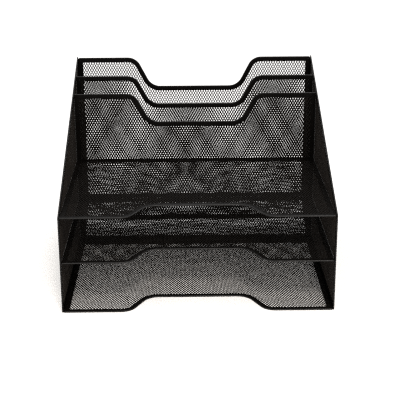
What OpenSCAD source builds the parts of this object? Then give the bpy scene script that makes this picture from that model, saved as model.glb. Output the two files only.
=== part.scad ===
// Desktop letter tray: three level trays and two upright slots between two mesh side walls.
// The three upright panels stand on one sloping floor, so each is a step higher than the last.
// Every panel is a mesh sheet held in a folded steel edge strip.
// The origin is the centre of the footprint on the desk: -Y is the front, +X the right side.

/* [Overall size] */
// Width over the two side walls
width = 318; // [300:1:340]
// Depth from the front edges of the trays to the back panel
depth = 296; // [286:1:310]
// Height of the side walls at the back, where their sloping edges end
height = 240.5; // [235:0.5:260]

/* [Trays] */
// Depth of each tray, from its front edge to the front divider
tray_depth = 218; // [200:1:222]
// Height of the middle tray's upper face
middle_level = 63; // [50:1:75]
// Height of the top tray's upper face, where the side walls start to slope
top_level = 118; // [105:1:130]

// Height of the lip at a tray's rear edge, welded to the front divider
rear_lip_height = 1.6; // [1:0.1:2.2]

/* [Upright panels] */
// Distance from the front divider to the middle divider
front_slot_pitch = 36.5; // [34:0.5:38]
// Height of the front divider's lower edge above the desk
front_divider_foot = 3.6; // [3.6:0.2:6]
// Height of the back panel's lower edge above the desk
back_panel_foot = 37.5; // [25:0.5:50]
// Drop from the side walls' sloping edges to the upright panels' top edges
panel_drop = 0.5; // [0:0.1:2]

/* [Finger notches] */
// Depth of the notch in each tray's front edge
tray_notch_depth = 40; // [20:0.5:45]
// Depth of the notch in the top edge of the two dividers
divider_notch_depth = 37.5; // [20:0.5:45]
// Depth of the notch in the top edge of the back panel
back_panel_notch_depth = 39.5; // [20:0.5:45]
// Width of the notch at the open edge
notch_mouth = 158; // [150:1:180]
// Width of the notch across its flat bottom
notch_flat = 117; // [80:1:122]
// Radius of the notch's four corners
notch_radius = 19; // [5:1:20]

/* [Edge strips] */
// Width of the folded edge strip
strip_width = 6.3; // [5:0.1:8]
// Thickness of the folded edge strip over both flanges
strip_thickness = 1.6; // [1.4:0.1:2.4]
// Thickness of the steel that the strip is folded from
strip_gauge = 0.5; // [0.3:0.1:0.5]
// Radius of the outer corners of a panel
corner_radius = 2; // [1:0.5:4]

/* [Mesh] */
// Thickness of the mesh sheet
mesh_thickness = 0.4; // [0.3:0.1:0.6]

/* [Fixing tabs] */
// Length of a tab along the wall
tab_length = 10; // [6:1:16]
// Reach of each leg of a tab
tab_reach = 7; // [5:1:9]
// Thickness of a tab
tab_gauge = 0.6; // [0.4:0.1:1]

/* [Hidden] */

// Straight pieces that make up one rounded corner
arc_steps = 8;
strip_colour = [0.06, 0.06, 0.06];
mesh_colour = [0.14, 0.14, 0.14];
tab_colour = [0.09, 0.09, 0.09];

// Clear width between the side walls, which every tray and panel fills
inner_width = width - 2 * strip_thickness;
front_y = -depth / 2;
front_divider_y = front_y + tray_depth;
back_panel_y = depth / 2 - strip_thickness;
middle_divider_y = front_divider_y + front_slot_pitch;
// The slot floor's upper plane, which the rear lower edges of the upright panels rest on
floor_angle = atan2(back_panel_foot - front_divider_foot, back_panel_y - front_divider_y);
floor_front_z = front_divider_foot - strip_thickness * tan(floor_angle);
middle_divider_foot = front_divider_foot + front_slot_pitch * tan(floor_angle);
// Length of the floor along its slope, from the trays' rear edges to the back panel's rear face
floor_length = (depth - tray_depth - strip_thickness * sin(floor_angle)) / cos(floor_angle);
// Inner face of a side wall's mesh
wall_mesh_x = width / 2 - (strip_thickness + mesh_thickness) / 2;
// Centres of the tabs along a tray and up a divider, as shares of its length
tab_places = [0.25, 0.75];

// Height of an upright panel's top edge, just below the side walls' sloping edges, at a given y
function panel_top(y) = top_level + (height - top_level) * (y - front_y) / depth - panel_drop;

// ---- Outlines: closed lists of corners that run anticlockwise ----

function direction(a, b) = (b - a) / norm(b - a);
function left_of(v) = [-v.y, v.x];
function before(i, n) = (i + n - 1) % n;
function after(i, n) = (i + 1) % n;
function turned(v, angle) = [
    v.x * cos(angle) - v.y * sin(angle),
    v.x * sin(angle) + v.y * cos(angle)
];
// Angle by which the outline turns at corner i, positive where the corner points outwards
function turn_at(points, i) =
    let (
        n = len(points),
        a = direction(points[before(i, n)], points[i]),
        b = direction(points[i], points[after(i, n)])
    )
    atan2(a.x * b.y - a.y * b.x, a * b);
// The outline moved inwards by d on every side
function inset_points(points, d) = [
    for (i = [0:len(points) - 1])
        let (
            n = len(points),
            a = left_of(direction(points[before(i, n)], points[i])),
            b = left_of(direction(points[i], points[after(i, n)]))
        )
        points[i] + d * (a + b) / (1 + a * b)
];
// The radii of the outline moved inwards by d
function inset_radii(points, radii, d) = [
    for (i = [0:len(points) - 1])
        max(0, radii[i] - d * sign(turn_at(points, i)))
];
// One corner as a point, or as an arc of the given radius
function corner(points, i, radius) =
    let (
        n = len(points),
        a = direction(points[before(i, n)], points[i]),
        turn = turn_at(points, i),
        start = points[i] - a * radius * tan(abs(turn) / 2),
        centre = start + left_of(a) * sign(turn) * radius
    )
    radius == 0 ? [points[i]] : [
        for (k = [0:arc_steps])
            centre + turned(start - centre, turn * k / arc_steps)
    ];

// The outline, moved inwards by d, with its corners rounded
module outline(points, radii, d = 0) {
    inner = inset_points(points, d);
    inner_radii = inset_radii(points, radii, d);
    polygon([for (i = [0:len(inner) - 1]) each corner(inner, i, inner_radii[i])]);
}

// Corners of a tray or upright panel, with the notch in its far edge
function notched_points(length, notch_depth) = [
    [-inner_width / 2, 0],
    [inner_width / 2, 0],
    [inner_width / 2, length],
    [notch_mouth / 2, length],
    [notch_flat / 2, length - notch_depth],
    [-notch_flat / 2, length - notch_depth],
    [-notch_mouth / 2, length],
    [-inner_width / 2, length]
];
notched_radii = [
    corner_radius, corner_radius, corner_radius,
    notch_radius, notch_radius, notch_radius, notch_radius,
    corner_radius
];
// Corners of a side wall, seen from the right: front foot, back foot, back top, front top.
// The one at the back top is cut to a sharp point.
side_points = [
    [front_y, 0],
    [depth / 2, 0],
    [depth / 2, height],
    [front_y, top_level]
];
side_radii = [corner_radius, corner_radius, 0, corner_radius];
// Corners of the slot floor, from its lower front edge to its upper rear edge
floor_points = [
    [-inner_width / 2, 0],
    [inner_width / 2, 0],
    [inner_width / 2, floor_length],
    [-inner_width / 2, floor_length]
];
floor_radii = [0, 0, 0, 0];
tray_points = notched_points(tray_depth, tray_notch_depth);

// ---- Sheet and strip, drawn flat with their thickness along +Z ----

// Mesh sheet, which reaches to the bottom of the fold in its edge strip
module mesh_sheet(points, radii) {
    color(mesh_colour)
        translate([0, 0, (strip_thickness - mesh_thickness) / 2])
            linear_extrude(mesh_thickness)
                outline(points, radii, strip_gauge);
}

// Edge strip folded over the sheet: a ring with a groove for the sheet
module edge_strip(points, radii) {
    color(strip_colour)
        difference() {
            linear_extrude(strip_thickness)
                difference() {
                    outline(points, radii);
                    outline(points, radii, strip_width);
                }
            translate([0, 0, (strip_thickness - mesh_thickness) / 2])
                linear_extrude(mesh_thickness)
                    outline(points, radii, strip_gauge);
        }
}

// ---- Places: each carries a flat panel to where it stands ----

// Side wall whose inner or outer face is at x
module at_wall(x) {
    translate([x, 0, 0])
        rotate([90, 0, 90])
            children();
}

// Level tray whose upper face is at the given height and whose notch faces the front
module at_tray(level) {
    translate([0, front_divider_y, level - strip_thickness])
        mirror([0, 1, 0])
            children();
}

// Upright panel with its front face at y and its lower edge at height foot
module at_upright(y, foot) {
    translate([0, y + strip_thickness, foot])
        rotate([90, 0, 0])
            children();
}

// The sloping slot floor, whose upper front edge touches the bottom tray's rear edge
module at_slot_floor() {
    translate([0, front_divider_y, floor_front_z])
        rotate([floor_angle, 0, 0])
            translate([0, 0, -strip_thickness])
                children();
}

// ---- Fixing tabs: right-angle pieces that tie a panel to the wall's mesh ----

// Legs along -X and -Y from the corner at the origin, length along +Z
module tab() {
    linear_extrude(tab_length, center = true)
        polygon([
            [0, 0],
            [-tab_reach - tab_gauge, 0],
            [-tab_reach - tab_gauge, -tab_gauge],
            [-tab_gauge, -tab_gauge],
            [-tab_gauge, -tab_reach],
            [0, -tab_reach]
        ]);
}

// A tab at each place on both walls
module on_both_walls() {
    for (side = [0, 1])
        mirror([side, 0, 0])
            translate([wall_mesh_x, 0, 0])
                children();
}

// Four tabs under a tray
module tray_tabs(level) {
    color(tab_colour)
        for (place = tab_places)
            on_both_walls()
                translate([0, front_y + place * tray_depth, level - strip_thickness])
                    rotate([90, 0, 0])
                        tab();
}

// Four tabs behind an upright panel
module upright_tabs(y, foot) {
    color(tab_colour)
        for (place = tab_places)
            on_both_walls()
                translate([0, y + strip_thickness, foot + place * (panel_top(y) - foot)])
                    mirror([0, 1, 0])
                        tab();
}

// ---- Side walls ----

module left_side_strip() {
    at_wall(-width / 2)
        edge_strip(side_points, side_radii);
}

module left_side_mesh() {
    at_wall(-width / 2)
        mesh_sheet(side_points, side_radii);
}

module right_side_strip() {
    at_wall(inner_width / 2)
        edge_strip(side_points, side_radii);
}

module right_side_mesh() {
    at_wall(inner_width / 2)
        mesh_sheet(side_points, side_radii);
}

// ---- Trays ----

// Lip that stands up along the rear edge of a tray's strip
module rear_lip() {
    color(strip_colour)
        translate([-inner_width / 2 + corner_radius, 0, 0])
            cube([inner_width - 2 * corner_radius, strip_gauge, strip_thickness + rear_lip_height]);
}

module tray_strip(level) {
    at_tray(level) {
        edge_strip(tray_points, notched_radii);
        rear_lip();
    }
}

module tray_mesh(level) {
    at_tray(level)
        mesh_sheet(tray_points, notched_radii);
}

module bottom_tray_strip() { tray_strip(strip_thickness); }
module bottom_tray_mesh() { tray_mesh(strip_thickness); }
module middle_tray_strip() { tray_strip(middle_level); }
module middle_tray_mesh() { tray_mesh(middle_level); }
module middle_tray_tabs() { tray_tabs(middle_level); }
module top_tray_strip() { tray_strip(top_level); }
module top_tray_mesh() { tray_mesh(top_level); }
module top_tray_tabs() { tray_tabs(top_level); }

// ---- Upright panels ----

module upright_strip(y, foot, notch_depth) {
    at_upright(y, foot)
        edge_strip(notched_points(panel_top(y) - foot, notch_depth), notched_radii);
}

module upright_mesh(y, foot, notch_depth) {
    at_upright(y, foot)
        mesh_sheet(notched_points(panel_top(y) - foot, notch_depth), notched_radii);
}

module front_divider_strip() {
    upright_strip(front_divider_y, front_divider_foot, divider_notch_depth);
}

module front_divider_mesh() {
    upright_mesh(front_divider_y, front_divider_foot, divider_notch_depth);
}

module front_divider_tabs() {
    upright_tabs(front_divider_y, front_divider_foot);
}

module middle_divider_strip() {
    upright_strip(middle_divider_y, middle_divider_foot, divider_notch_depth);
}

module middle_divider_mesh() {
    upright_mesh(middle_divider_y, middle_divider_foot, divider_notch_depth);
}

module middle_divider_tabs() {
    upright_tabs(middle_divider_y, middle_divider_foot);
}

module back_panel_strip() {
    upright_strip(back_panel_y, back_panel_foot, back_panel_notch_depth);
}

module back_panel_mesh() {
    upright_mesh(back_panel_y, back_panel_foot, back_panel_notch_depth);
}

// ---- Slot floor ----

module slot_floor_strip() {
    at_slot_floor()
        edge_strip(floor_points, floor_radii);
}

module slot_floor_mesh() {
    at_slot_floor()
        mesh_sheet(floor_points, floor_radii);
}

left_side_strip();
left_side_mesh();
right_side_strip();
right_side_mesh();
bottom_tray_strip();
bottom_tray_mesh();
middle_tray_strip();
middle_tray_mesh();
middle_tray_tabs();
top_tray_strip();
top_tray_mesh();
top_tray_tabs();
front_divider_strip();
front_divider_mesh();
front_divider_tabs();
middle_divider_strip();
middle_divider_mesh();
middle_divider_tabs();
back_panel_strip();
back_panel_mesh();
slot_floor_strip();
slot_floor_mesh();
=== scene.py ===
"""Looks of the mesh letter tray: real diamond mesh, folded and mitred edge strips, bent fixing
tabs, satin black powder coat, a pale floor and soft studio light.

Panels are drawn flat in millimetres, as (across, along, through), and then carried to the place
that the CAD nodes give. Everything in the row frame is in metres.
"""

import math
from collections import namedtuple

import bmesh
import bpy
import numpy as np
from mathutils import Matrix, Vector


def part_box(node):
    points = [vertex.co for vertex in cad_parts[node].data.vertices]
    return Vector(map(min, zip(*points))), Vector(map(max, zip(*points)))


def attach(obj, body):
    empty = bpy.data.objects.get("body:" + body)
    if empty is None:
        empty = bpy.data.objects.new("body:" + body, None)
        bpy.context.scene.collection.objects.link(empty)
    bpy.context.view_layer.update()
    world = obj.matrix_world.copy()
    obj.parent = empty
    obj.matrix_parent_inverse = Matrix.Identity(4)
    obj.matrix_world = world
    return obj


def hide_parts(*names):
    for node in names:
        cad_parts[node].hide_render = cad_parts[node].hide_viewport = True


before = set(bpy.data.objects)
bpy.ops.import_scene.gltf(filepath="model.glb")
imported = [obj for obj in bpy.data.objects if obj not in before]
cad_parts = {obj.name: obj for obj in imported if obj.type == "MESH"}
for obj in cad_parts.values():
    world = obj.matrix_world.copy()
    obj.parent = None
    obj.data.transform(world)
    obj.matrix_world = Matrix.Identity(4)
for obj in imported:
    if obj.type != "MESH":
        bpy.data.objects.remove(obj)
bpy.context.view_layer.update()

MM = 0.001
X, Y, Z = Vector((1, 0, 0)), Vector((0, 1, 0)), Vector((0, 0, 1))

# ---- Sizes that the CAD nodes' boxes don't give, in millimetres ----

STRIP_WIDTH = 6.3
STRIP_THICKNESS = 1.6
STRIP_GAUGE = 0.5
FLANGE_TAPER = 0.08  # by how much each flange closes in on the mesh at its free edge
FLANGE_BEVEL = 0.12
FOLD_RADIUS = 0.7
FOLD_END = 1.0  # how far the flat beside the fold's bend reaches from the panel's edge
FOLD_STEPS = 5
LONGEST_RUN = 9.0  # between two sections along a straight strip

CORNER_RADIUS = 2.0
SEAM_STEPS = 4  # in the half corner on each side of a seam
SEAM_HALF_GAP = 0.09
NOTCH_MOUTH = 158.0
NOTCH_FLAT = 117.0
NOTCH_RADIUS = 19.0
NOTCH_STEPS = 12
TRAY_NOTCH_DEPTH = 40.0
DIVIDER_NOTCH_DEPTH = 37.5
BACK_NOTCH_DEPTH = 39.5

CELL_ACROSS = 3.4  # the mesh's short pitch
CELL_ALONG = 6.0  # its long pitch
OPEN_SHARE = 0.7  # a hole's width over the pitch
PANEL_STRAND = 0.22  # thickness of the strands in the trays, upright panels and slot floor
WALL_STRAND = 0.34  # and in the side walls, whose mesh is heavier
PANEL_TWIST = 0.17  # how far a hole's two long ends stand out of the sheet's plane
WALL_TWIST = 0.12  # and in the side walls, so that the heavier strands fit in the folded strip
MESH_HIDDEN = 3.3  # from a panel's edge to the centres of its outermost holes

TAB_LENGTH = 10.0
TAB_REACH = 7.0
TAB_GAUGE = 0.6
TAB_BEND = 1.1
TAB_STEPS = 8
TAB_END = ((0.0, 0.7), (0.3, 0.21), (1.0, 0.0))  # (distance from a tab's end, trim of its legs)
TAB_PLACES = (0.25, 0.75)  # shares of the length or height of the panel that the tabs hold

LIP_STEPS = 6
LIP_END = ((1.0, 0.12), (0.998, 0.0))  # (share of the half length, share of the section lost)

SHARP_ANGLE = 35  # degrees
MERGE_DISTANCE = 0.002
DEGENERATE_LENGTH = 0.001

# ---- The powder coat: grain sizes as noise scales, per metre ----

PATCH_SCALE = 45
PEBBLE_SCALE = 1500
SPECK_SCALE = 5200
SPECK_SHARE = 0.35  # of the skin's relief, beside the pebbles
GRAIN_DEPTH = 0.05  # millimetres
PATCH_RANGE = (0.35, 0.65)  # noise from which the film starts to lighten, and is all light
PEBBLE_RANGE = (0.3, 0.7)  # noise at the least and the most roughness
SPECK_RANGE = (0.45, 0.75)  # noise from which dust starts to gather, and is at its most
DUST_FACING = (0.6, 1.0)  # upward part of the normal, in the same way
MOST_DUST = 0.006
DUST_COLOUR = (0.32, 0.30, 0.27)

# ---- The stage and camera, in metres and degrees ----

FLOOR_REACH = 9.0
FLOOR_COLOUR = (0.96, 0.945, 0.925, 1)
FLOOR_ROUGHNESS = 0.9
FLOOR_SHINE = 0.1
CAMERA_PLACE = (-0.0139, -1.2545, 0.5305)
CAMERA_TURN = 0.846
CAMERA_TILT = 19.526
CAMERA_ROLL = -0.266
CAMERA_LENS = 94.04  # millimetres, as is the sensor's width
CAMERA_SENSOR = 36.0
CAMERA_SIGHT = 50.0  # how far it sees
PIXEL_FILTER = 1.2  # pixels

# A flat panel. Its strands are strand thick, and each hole's ends stand out of its plane by twist.
# matrix carries (across, along, through) in millimetres to the row frame.
Panel = namedtuple("Panel", "name points radii matrix strand twist")


# ---- Outlines: closed lists of corners that run anticlockwise ----


def unit(v):
    return v / np.linalg.norm(v)


def left_of(v):
    return np.array([-v[1], v[0]])


def turned(v, angle):
    c, s = math.cos(angle), math.sin(angle)
    return np.array([v[0] * c - v[1] * s, v[0] * s + v[1] * c])


def sides_at(points, i):
    """Directions into and out of corner i, and its turn, positive where it points outwards."""
    into = unit(points[i] - points[i - 1])
    out = unit(points[(i + 1) % len(points)] - points[i])
    turn = math.atan2(into[0] * out[1] - into[1] * out[0], into @ out)
    return into, out, turn


def outline_point(panel, i, share, d):
    """The point at a share of the turn of corner i, on the outline moved inwards by d."""
    into, out, turn = sides_at(panel.points, i)
    corner = panel.points[i] + d * (left_of(into) + left_of(out)) / (1 + into @ out)
    radius = max(0.0, panel.radii[i] - d * math.copysign(1, turn))
    start = corner - into * radius * math.tan(abs(turn) / 2)
    centre = start + left_of(into) * math.copysign(radius, turn)
    return centre + turned(start - centre, turn * share)


def inset_outline(panel, d):
    """The panel's whole outline, moved inwards by d."""
    shares = np.linspace(0, 1, NOTCH_STEPS + 1)
    numbers = range(len(panel.points))
    return np.array([outline_point(panel, i, share, d) for i in numbers for share in shares])


def inside(points, outline):
    """Which of the points lie inside the outline."""
    x, y = points[:, 0], points[:, 1]
    found = np.zeros(len(points), bool)
    for a, b in zip(outline, np.roll(outline, -1, axis=0)):
        crosses = (a[1] > y) != (b[1] > y)
        rise = b[1] - a[1] if b[1] != a[1] else 1.0
        found ^= crosses & (x < a[0] + (y - a[1]) * (b[0] - a[0]) / rise)
    return found


def arc(centre, radius, start, end, steps):
    """Points along an arc, with its angles in degrees."""
    angles = np.radians(np.linspace(start, end, steps + 1))
    return [(centre[0] + radius * math.cos(t), centre[1] + radius * math.sin(t)) for t in angles]


# ---- Expanded mesh ----


def hole_grid(outline):
    """Centres of a grid over the outline, whether a junction of strands may be there, and the
    number of the diamond hole there: -1 where there is none."""
    low, high = outline.min(0), outline.max(0)
    half_pitch = np.array([CELL_ACROSS, CELL_ALONG]) / 2
    reach = np.ceil((high - low) / 2 / half_pitch).astype(int) + 2
    columns = np.arange(-reach[0], reach[0] + 1)
    rows = np.arange(-reach[1], reach[1] + 1)
    i, j = np.meshgrid(columns, rows, indexing="ij")
    centres = np.stack([i, j], axis=-1) * half_pitch + (low + high) / 2
    is_between = (i + j) % 2 == 1
    is_hole = ~is_between & inside(centres.reshape(-1, 2), outline).reshape(i.shape)
    numbers = np.cumsum(is_hole).reshape(i.shape) - 1
    return centres, is_between, np.where(is_hole, numbers, -1)


def hole_corners(centres, twist):
    """Right, top, left and bottom corner of each hole, with its long ends out of the plane."""
    across, along = OPEN_SHARE * CELL_ACROSS / 2, OPEN_SHARE * CELL_ALONG / 2
    offsets = np.array(
        [[across, 0, 0], [0, along, twist], [-across, 0, 0], [0, -along, -twist]]
    )
    flat = np.pad(centres, ((0, 0), (0, 1)))
    return (flat[:, None, :] + offsets).reshape(-1, 3)


def sheet_faces(is_between, hole):
    """Quads and triangles of the sheet between the holes: strands from each hole to its diagonal
    neighbours, and the junctions of strands between four holes, or three at the edge."""
    right, top, left, bottom = range(4)
    here = hole[1:-1, 1:-1]
    north_east, north_west = hole[2:, 2:], hole[:-2, 2:]
    north, south = hole[1:-1, 2:], hole[1:-1, :-2]
    east, west = hole[2:, 1:-1], hole[:-2, 1:-1]
    around = [(south, top), (east, left), (north, bottom), (west, right)]
    to_east = [(here, right), (north_east, bottom), (north_east, left), (here, top)]
    to_west = [(here, left), (here, top), (north_west, right), (north_west, bottom)]
    found = np.array([holes >= 0 for holes, _ in around])
    is_between = is_between[1:-1, 1:-1]

    def polygons(where, corners):
        return np.stack([4 * holes[where] + corner for holes, corner in corners], axis=-1)

    quads = [
        polygons(is_between & found.all(0), around),
        polygons((here >= 0) & (north_east >= 0), to_east),
        polygons((here >= 0) & (north_west >= 0), to_west),
    ]
    lacks_one = is_between & (found.sum(0) == 3)
    triangles = [
        polygons(lacks_one & ~found[k], around[:k] + around[k + 1 :]) for k in range(4)
    ]
    return np.concatenate(quads), np.concatenate(triangles)


def lattice(panel):
    """Vertices and faces of the panel's expanded mesh, as one closed solid."""
    centres, is_between, hole = hole_grid(inset_outline(panel, MESH_HIDDEN))
    sheet = hole_corners(centres[hole >= 0], panel.twist)
    sheet[:, 2] += STRIP_THICKNESS / 2
    groups = sheet_faces(is_between, hole)

    # The same faces below, turned over, and a wall at each edge that only one face has
    count = len(sheet)
    starts = np.concatenate([group.ravel() for group in groups])
    ends = np.concatenate([np.roll(group, -1, axis=1).ravel() for group in groups])
    is_open = ~np.isin(starts * count + ends, ends * count + starts)
    a, b = starts[is_open], ends[is_open]
    walls = np.stack([b, a, a + count, b + count], axis=-1)
    groups = [*groups, *(group[:, ::-1] + count for group in groups), walls]

    half_strand = np.array([0, 0, panel.strand / 2])
    vertices = np.concatenate([sheet + half_strand, sheet - half_strand])
    used = np.unique(np.concatenate([group.ravel() for group in groups]))
    faces = [face for group in groups for face in np.searchsorted(used, group).tolist()]
    return vertices[used], faces


# ---- Solids swept through rings of points ----


def sweep(rings):
    """Vertices and faces of a closed solid through a list of rings of 3D points."""
    count = len(rings[0])
    last = (len(rings) - 1) * count
    vertices = [tuple(point) for ring in rings for point in ring]
    faces = [tuple(range(count))[::-1], tuple(range(last, last + count))]
    for start in range(0, last, count):
        for k in range(count):
            n = (k + 1) % count
            faces.append((start + k, start + n, start + count + n, start + count + k))
    return vertices, faces


def spaced(rings):
    """The rings with more between them wherever a straight run is long."""
    made = [rings[0]]
    for a, b in zip(rings, rings[1:]):
        far = np.linalg.norm(b - a, axis=1).max()
        steps = max(1, math.ceil(far / LONGEST_RUN))
        made += [a + (b - a) * k / steps for k in range(1, steps + 1)]
    return made


def joined(solids):
    """Several (vertices, faces) as one."""
    vertices, faces = [], []
    for more_vertices, more_faces in solids:
        faces += [tuple(k + len(vertices) for k in face) for face in more_faces]
        vertices += list(more_vertices)
    return vertices, faces


# ---- Folded edge strip ----


def strip_section():
    """Section of the folded strip as (distance from the panel's edge, height), anticlockwise."""
    top = STRIP_THICKNESS
    inner_top = top - STRIP_GAUGE
    return [
        (STRIP_WIDTH, STRIP_GAUGE),
        (STRIP_GAUGE, STRIP_GAUGE),
        (STRIP_GAUGE, inner_top),
        (STRIP_WIDTH, inner_top),
        (STRIP_WIDTH, top - FLANGE_TAPER - FLANGE_BEVEL),
        (STRIP_WIDTH - FLANGE_BEVEL, top - FLANGE_TAPER),
        (STRIP_WIDTH / 2, top),
        (FOLD_END, top),
        *arc((FOLD_RADIUS, top - FOLD_RADIUS), FOLD_RADIUS, 90, 180, FOLD_STEPS),
        *arc((FOLD_RADIUS, FOLD_RADIUS), FOLD_RADIUS, 180, 270, FOLD_STEPS),
        (FOLD_END, 0),
        (STRIP_WIDTH / 2, 0),
        (STRIP_WIDTH - FLANGE_BEVEL, FLANGE_TAPER),
        (STRIP_WIDTH, FLANGE_TAPER + FLANGE_BEVEL),
    ]


def half_corner(panel, i, start, end):
    """The path through one half of a seamed corner: only the seam itself if it is sharp."""
    shares = np.linspace(start, end, SEAM_STEPS + 1) if panel.radii[i] > 0 else [0.5]
    return [(i, share) for share in shares]


def strip_paths(panel):
    """The strip's path as separate lengths, which meet in mitred seams at the square corners.
    Each length is a list of sections, and a section is (corner, share of its turn)."""
    count = len(panel.radii)
    seams = [i for i, radius in enumerate(panel.radii) if radius < NOTCH_RADIUS]
    shares = np.linspace(0, 1, NOTCH_STEPS + 1)
    paths = []
    for first, last in zip(seams, seams[1:] + [seams[0] + count]):
        rounds = [(i, share) for i in range(first + 1, last) for share in shares]
        end = half_corner(panel, last % count, 0, 0.5)
        paths.append(half_corner(panel, first, 0.5, 1) + rounds + end)
    return paths


def stood_back(rings, panel, i, side):
    """The rings with no point nearer to the seam at corner i than half of its gap. side is 1 for
    the length that starts at the corner and -1 for the one that ends there."""
    into, out, _ = sides_at(panel.points, i)
    along = out if side > 0 else -into
    across_seam = unit(into + out) * side
    distance = (rings[..., :2] - panel.points[i]) @ across_seam
    short = np.maximum(0, SEAM_HALF_GAP - distance) / (along @ across_seam)
    return rings + short[..., None] * np.append(along, 0)


def strip_solids(panel):
    """The lengths of folded strip around a panel, each as (vertices, faces)."""
    section = strip_section()
    solids = []
    for path in strip_paths(panel):
        rings = np.array(
            [[[*outline_point(panel, i, share, d), w] for d, w in section] for i, share in path]
        )
        rings = stood_back(rings, panel, path[0][0], 1)
        rings = stood_back(rings, panel, path[-1][0], -1)
        solids.append(sweep(spaced(rings)))
    return solids


def rear_lip(name):
    """Lip along a tray's rear edge: a flat bar with a rounded top and eased ends."""
    low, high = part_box(name + "_strip")
    half_length = (high.x - low.x) / 2 / MM - CORNER_RADIUS
    height = (high.z - low.z) / MM
    radius = STRIP_GAUGE / 2
    top = arc((radius, height - radius), radius, 0, 180, LIP_STEPS)
    section = [(0, 0), (STRIP_GAUGE, 0), *top]
    ends = [(-share, loss) for share, loss in LIP_END]
    ends += [(share, loss) for share, loss in reversed(LIP_END)]
    rings = []
    for share, loss in ends:
        left = 1 - loss
        ring = [(share * half_length, y * left + radius * loss, z * left) for y, z in section]
        rings.append(np.array(ring))
    return sweep(rings)


# ---- Fixing tabs ----


def tab_solid():
    """A right-angle tab with a rounded bend and trimmed ends: legs along -X and -Y from the
    origin, length along Z."""
    centre = (-TAB_BEND, -TAB_BEND)
    far_x, far_y = -TAB_REACH - TAB_GAUGE, -TAB_REACH
    section = [
        (far_x, -TAB_GAUGE),
        (far_x, 0),
        *arc(centre, TAB_BEND, 90, 0, TAB_STEPS),
        (0, far_y),
        (-TAB_GAUGE, far_y),
        *arc(centre, TAB_BEND - TAB_GAUGE, 0, 90, TAB_STEPS),
    ]
    half_length = TAB_LENGTH / 2
    ends = [(inset - half_length, trim) for inset, trim in TAB_END]
    ends += [(half_length - inset, trim) for inset, trim in reversed(TAB_END)]
    rings = [
        np.array([(max(x, far_x + trim), max(y, far_y + trim), z) for x, y in section])
        for z, trim in ends
    ]
    return sweep(rings)


def place(across, along, through, corner):
    """The matrix that carries (across, along, through) in millimetres to the row frame."""
    matrix = (Matrix((across, along, through)).transposed() * MM).to_4x4()
    matrix.translation = corner
    return matrix


def tab_matrices(name):
    """Where a panel's four tabs stand, two along each wall: under a tray, or behind an upright
    panel."""
    low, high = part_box(name + "_tabs")
    strip_low, strip_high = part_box(name + "_strip")
    span = strip_high - strip_low
    matrices = []
    for side in (-1, 1):
        for share in TAB_PLACES:
            if span.z < span.y:
                corner = Vector((side * high.x, strip_low.y + share * span.y, high.z))
                matrices.append(place(X * side, Z, Y, corner))
            else:
                corner = Vector((side * high.x, low.y, strip_low.z + share * span.z))
                matrices.append(place(X * side, -Y, Z, corner))
    return matrices


# ---- The panels, where the CAD nodes say ----


def as_points(*pairs):
    return [np.array(pair, float) for pair in pairs]


def notched_outline(width, length, notch_depth):
    """Corners of a tray or upright panel, with the notch in its far edge, and their radii."""
    half, mouth, bottom = width / 2, NOTCH_MOUTH / 2, NOTCH_FLAT / 2
    points = as_points(
        (-half, 0),
        (half, 0),
        (half, length),
        (mouth, length),
        (bottom, length - notch_depth),
        (-bottom, length - notch_depth),
        (-mouth, length),
        (-half, length),
    )
    return points, [CORNER_RADIUS] * 3 + [NOTCH_RADIUS] * 4 + [CORNER_RADIUS]


def tray_panel(name):
    low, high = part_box(name + "_strip")
    size = (high - low) / MM
    points, radii = notched_outline(size.x, size.y, TRAY_NOTCH_DEPTH)
    matrix = place(X, -Y, Z, Vector((0, high.y, low.z)))
    return Panel(name, points, radii, matrix, PANEL_STRAND, -PANEL_TWIST)


def upright_panel(name, notch_depth):
    low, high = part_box(name + "_strip")
    size = (high - low) / MM
    points, radii = notched_outline(size.x, size.z, notch_depth)
    matrix = place(X, Z, -Y, Vector((0, high.y, low.z)))
    return Panel(name, points, radii, matrix, PANEL_STRAND, PANEL_TWIST)


def side_panel(name):
    """A wall, whose top edge slopes up from the top tray to a sharp corner at the back."""
    low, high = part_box(name + "_strip")
    tray_low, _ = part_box("top_tray_strip")
    size = (high - low) / MM
    front_top = tray_low.z / MM + STRIP_THICKNESS
    points = as_points((0, 0), (size.y, 0), (size.y, size.z), (0, front_top))
    radii = [CORNER_RADIUS, CORNER_RADIUS, 0.0, CORNER_RADIUS]
    return Panel(name, points, radii, place(Y, Z, X, low), WALL_STRAND, -WALL_TWIST)


def slot_floor_panel():
    """The sloping floor that the three upright panels stand on."""
    low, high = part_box("slot_floor_strip")
    front_low, front_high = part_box("front_divider_strip")
    back_low, back_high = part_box("back_panel_strip")
    slope = math.atan2(back_low.z - front_low.z, back_high.y - front_high.y)
    rise, run = math.sin(slope), math.cos(slope)
    size = (high - low) / MM
    half, length = size.x / 2, (size.y - STRIP_THICKNESS * rise) / run
    points = as_points((-half, 0), (half, 0), (half, length), (-half, length))
    corner = Vector((0, low.y + STRIP_THICKNESS * MM * rise, low.z))
    matrix = place(X, Y * run + Z * rise, Z * run - Y * rise, corner)
    return Panel("slot_floor", points, [0.0] * 4, matrix, PANEL_STRAND, PANEL_TWIST)


# ---- Pieces ----


def add_piece(name, solid, matrix, material, node):
    """A piece in the row frame, which stands for its CAD node and rides on the one body."""
    vertices, faces = solid
    if matrix.determinant() < 0:
        faces = [face[::-1] for face in faces]
    mesh = bpy.data.meshes.new(name)
    mesh.from_pydata(vertices, [], faces)
    mesh.transform(matrix)
    mesh.update()
    mesh.materials.append(material)
    piece = bpy.data.objects.new(name, mesh)
    bpy.context.scene.collection.objects.link(piece)
    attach(piece, "root")
    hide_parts(node)
    return piece


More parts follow.
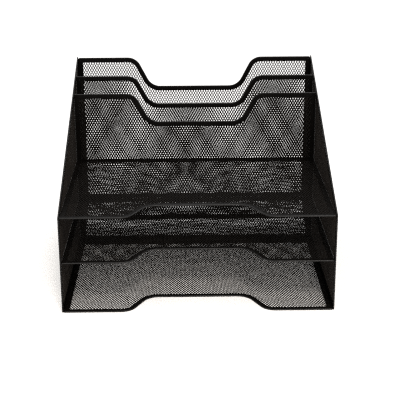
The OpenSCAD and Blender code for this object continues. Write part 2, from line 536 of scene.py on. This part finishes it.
def finish_solid(piece):
    """Merges doubled points, as at the sharp inner end of a mitre, and smooths the bends."""
    work = bmesh.new()
    work.from_mesh(piece.data)
    bmesh.ops.remove_doubles(work, verts=work.verts, dist=MERGE_DISTANCE * MM)
    bmesh.ops.dissolve_degenerate(work, edges=work.edges, dist=DEGENERATE_LENGTH * MM)
    bmesh.ops.recalc_face_normals(work, faces=work.faces)
    work.to_mesh(piece.data)
    work.free()
    piece.data.shade_smooth()
    piece.data.set_sharp_from_angle(angle=math.radians(SHARP_ANGLE))


def mark_folds(piece, count):
    """Sets the attribute fold to 1 on the folded edge of the strips, the first count vertices."""
    section = strip_section()
    on_fold = [float(d <= FOLD_RADIUS) for d, _ in section] * (count // len(section))
    attribute = piece.data.attributes.new("fold", "FLOAT", "POINT")
    attribute.data.foreach_set("value", on_fold + [0.0] * (len(attribute.data) - count))


def add_panel(panel, strip_material, mesh_material, extra=()):
    """The lattice and the strip of one panel, in place of its two CAD nodes."""
    name, matrix = panel.name, panel.matrix
    mesh_name, mesh_node = name + "_diamond_mesh", name + "_mesh"
    add_piece(mesh_name, lattice(panel), matrix, mesh_material, mesh_node)
    lengths = strip_solids(panel)
    solid = joined([*lengths, *extra])
    strip_name, strip_node = name + "_folded_strip", name + "_strip"
    strip = add_piece(strip_name, solid, matrix, strip_material, strip_node)
    mark_folds(strip, sum(len(vertices) for vertices, _ in lengths))
    finish_solid(strip)


def add_tabs(name, material):
    """Bent tabs in place of a CAD node of four."""
    solids = []
    for matrix in tab_matrices(name):
        vertices, faces = tab_solid()
        solids.append(([tuple(matrix @ Vector(v)) for v in vertices], faces))
    tabs_name, tabs_node = name + "_bent_tabs", name + "_tabs"
    tabs = add_piece(
        tabs_name, joined(solids), Matrix.Identity(4), material, tabs_node
    )
    finish_solid(tabs)


# ---- Materials ----


def node_of(tree, kind, **values):
    """A new shader node with some of its inputs set by name."""
    made = tree.nodes.new(kind)
    for key, value in values.items():
        made.inputs[key.replace("_", " ")].default_value = value
    return made


def noise(tree, position, scale, detail):
    made = node_of(tree, "ShaderNodeTexNoise", Scale=scale, Detail=detail)
    tree.links.new(position, made.inputs["Vector"])
    return made.outputs["Fac"]


def map_range(tree, value, low, high, to_low, to_high):
    made = node_of(
        tree, "ShaderNodeMapRange", From_Min=low, From_Max=high, To_Min=to_low, To_Max=to_high
    )
    tree.links.new(value, made.inputs["Value"])
    return made.outputs["Result"]


def mix_colour(tree, share, a, b):
    made = tree.nodes.new("ShaderNodeMix")
    made.data_type = "RGBA"
    for socket, value in ((made.inputs[6], a), (made.inputs[7], b)):
        if isinstance(value, tuple):
            socket.default_value = (*value, 1)
        else:
            tree.links.new(value, socket)
    tree.links.new(share, made.inputs[0])
    return made.outputs[2]


def dust_share(tree, specks):
    """How much dust shows: a trace, on faces that look up."""
    normal = tree.nodes.new("ShaderNodeNewGeometry").outputs["Normal"]
    parts = tree.nodes.new("ShaderNodeSeparateXYZ")
    tree.links.new(normal, parts.inputs[0])
    product = tree.nodes.new("ShaderNodeMath")
    product.operation = "MULTIPLY"
    upwards = map_range(tree, parts.outputs["Z"], *DUST_FACING, 0, MOST_DUST)
    tree.links.new(upwards, product.inputs[0])
    tree.links.new(map_range(tree, specks, *SPECK_RANGE, 0, 1), product.inputs[1])
    return product.outputs[0]


def skin_relief(tree, pebbles, specks, grain):
    """The normal of a pebbled skin with finer specks on it."""
    height = tree.nodes.new("ShaderNodeMath")
    height.operation = "MULTIPLY_ADD"
    tree.links.new(specks, height.inputs[0])
    height.inputs[1].default_value = SPECK_SHARE
    tree.links.new(pebbles, height.inputs[2])
    bump = node_of(tree, "ShaderNodeBump", Strength=grain, Distance=GRAIN_DEPTH * MM)
    tree.links.new(height.outputs[0], bump.inputs["Height"])
    return bump.outputs["Normal"]


def powder_coat(name, dark, light, roughness, grain, shine, fold_shine):
    """Satin black powder coat: patches of slightly uneven film, a fine pebbled skin that bends
    the light, a trace of pale dust, and its own shine on the folds that hands have rubbed."""
    material = bpy.data.materials.new(name)
    material.use_nodes = True
    tree = material.node_tree
    shader = tree.nodes["Principled BSDF"]
    position = tree.nodes.new("ShaderNodeTexCoord").outputs["Object"]
    patches = noise(tree, position, PATCH_SCALE, detail=3)
    pebbles = noise(tree, position, PEBBLE_SCALE, detail=2)
    specks = noise(tree, position, SPECK_SCALE, detail=1)

    coat = mix_colour(tree, map_range(tree, patches, *PATCH_RANGE, 0, 1), dark, light)
    coat = mix_colour(tree, dust_share(tree, specks), coat, DUST_COLOUR)
    rough = map_range(tree, pebbles, *PEBBLE_RANGE, *roughness)
    fold = tree.nodes.new("ShaderNodeAttribute")
    fold.attribute_name = "fold"
    gloss = map_range(tree, fold.outputs["Fac"], 0, 1, shine, fold_shine)
    tree.links.new(coat, shader.inputs["Base Color"])
    tree.links.new(rough, shader.inputs["Roughness"])
    tree.links.new(gloss, shader.inputs["Specular IOR Level"])
    tree.links.new(skin_relief(tree, pebbles, specks, grain), shader.inputs["Normal"])
    return material


def strip_coat():
    return powder_coat(
        "StripCoat",
        dark=(0.0018, 0.0014, 0.0011),
        light=(0.003, 0.0024, 0.002),
        roughness=(0.3, 0.42),
        grain=0.4,
        shine=0.04,
        fold_shine=0.26,
    )


def mesh_coat():
    return powder_coat(
        "MeshCoat",
        dark=(0.0046, 0.0036, 0.0029),
        light=(0.0072, 0.0057, 0.0046),
        roughness=(0.6, 0.75),
        grain=0.35,
        shine=0.06,
        fold_shine=0.06,
    )


# The side walls' mesh has the same powder coat as the other panels. Here it is painted about twice
# as light, as painted light falling on the walls' inner faces.
def wall_coat_with_painted_light():
    return powder_coat(
        "WallCoatWithPaintedLight",
        dark=(0.009, 0.007, 0.0056),
        light=(0.013, 0.0103, 0.0083),
        roughness=(0.55, 0.7),
        grain=0.35,
        shine=0.08,
        fold_shine=0.08,
    )


def tab_coat():
    return powder_coat(
        "TabCoat",
        dark=(0.003, 0.0024, 0.002),
        light=(0.0048, 0.004, 0.0034),
        roughness=(0.34, 0.48),
        grain=0.4,
        shine=0.08,
        fold_shine=0.08,
    )


# ---- Stage, light and camera ----


def add_floor():
    reach = FLOOR_REACH
    outline = [(-reach, -reach, 0), (reach, -reach, 0), (reach, reach, 0), (-reach, reach, 0)]
    mesh = bpy.data.meshes.new("StudioFloor")
    mesh.from_pydata(outline, [], [(0, 1, 2, 3)])
    material = bpy.data.materials.new("PaleFloor")
    material.use_nodes = True
    shader = material.node_tree.nodes["Principled BSDF"]
    shader.inputs["Base Color"].default_value = FLOOR_COLOUR
    shader.inputs["Roughness"].default_value = FLOOR_ROUGHNESS
    shader.inputs["Specular IOR Level"].default_value = FLOOR_SHINE
    mesh.materials.append(material)
    floor = bpy.data.objects.new("StudioFloor", mesh)
    bpy.context.scene.collection.objects.link(floor)


def add_world(horizon, zenith):
    """Soft light from all round, stronger from overhead than from the sides."""
    world = bpy.data.worlds.new("Studio")
    world.use_nodes = True
    tree = world.node_tree
    direction = tree.nodes.new("ShaderNodeTexCoord").outputs["Generated"]
    parts = tree.nodes.new("ShaderNodeSeparateXYZ")
    tree.links.new(direction, parts.inputs[0])
    background = tree.nodes["Background"]
    background.inputs["Color"].default_value = (1, 1, 1, 1)
    strength = map_range(tree, parts.outputs["Z"], 0, 1, horizon, zenith)
    tree.links.new(strength, background.inputs["Strength"])
    bpy.context.scene.world = world


def add_softbox(name, location, target, size, power, spread, colour):
    """A square area light at location that faces target, its spread in degrees."""
    light = bpy.data.lights.new(name, "AREA")
    light.shape = "SQUARE"
    light.size = size
    light.energy = power
    light.spread = math.radians(spread)
    light.color = colour
    lamp = bpy.data.objects.new(name, light)
    lamp.location = location
    lamp.rotation_euler = (Vector(target) - Vector(location)).to_track_quat("-Z", "Y").to_euler()
    bpy.context.scene.collection.objects.link(lamp)


def add_camera():
    """The camera, where the photograph was taken from."""
    turn, tilt, roll = (math.radians(a) for a in (CAMERA_TURN, CAMERA_TILT, CAMERA_ROLL))
    level = Vector((math.cos(turn), -math.sin(turn), 0))
    forward = Vector((math.sin(turn), math.cos(turn), 0))
    ahead = forward * math.cos(tilt) - Z * math.sin(tilt)
    upright = level.cross(ahead)
    right = level * math.cos(roll) + upright * math.sin(roll)
    up = upright * math.cos(roll) - level * math.sin(roll)
    camera = bpy.data.objects.new("Camera", bpy.data.cameras.new("Camera"))
    camera.data.sensor_width = CAMERA_SENSOR
    camera.data.lens = CAMERA_LENS
    camera.data.clip_end = CAMERA_SIGHT
    matrix = Matrix((right, up, -ahead)).transposed().to_4x4()
    matrix.translation = CAMERA_PLACE
    camera.matrix_world = matrix
    bpy.context.scene.collection.objects.link(camera)
    bpy.context.scene.camera = camera


# ---- The object ----

strip_paint, mesh_paint = strip_coat(), mesh_coat()
wall_paint_with_painted_light, tab_paint = wall_coat_with_painted_light(), tab_coat()

for tray in ("bottom_tray", "middle_tray", "top_tray"):
    add_panel(tray_panel(tray), strip_paint, mesh_paint, [rear_lip(tray)])
for divider in ("front_divider", "middle_divider"):
    add_panel(upright_panel(divider, DIVIDER_NOTCH_DEPTH), strip_paint, mesh_paint)
add_panel(upright_panel("back_panel", BACK_NOTCH_DEPTH), strip_paint, mesh_paint)
for side in ("left_side", "right_side"):
    # The walls take the coat with the painted light on their mesh.
    add_panel(side_panel(side), strip_paint, wall_paint_with_painted_light)
add_panel(slot_floor_panel(), strip_paint, mesh_paint)
for holder in ("middle_tray", "top_tray", "front_divider", "middle_divider"):
    add_tabs(holder, tab_paint)

# ---- The picture ----

add_floor()
add_world(horizon=0.65, zenith=1.5)
add_softbox(
    "KeyLight",
    location=(0.3, -2.0, 1.9),
    target=(0, -0.5, 0),
    size=0.7,
    power=3.4,
    spread=42,
    colour=(1.0, 0.93, 0.86),
)
add_camera()
bpy.context.scene.view_settings.view_transform = "Standard"
# The mesh is about as fine as a pixel, so it is neither smoothed away nor blurred
bpy.context.scene.cycles.use_denoising = False
bpy.context.scene.cycles.filter_width = PIXEL_FILTER
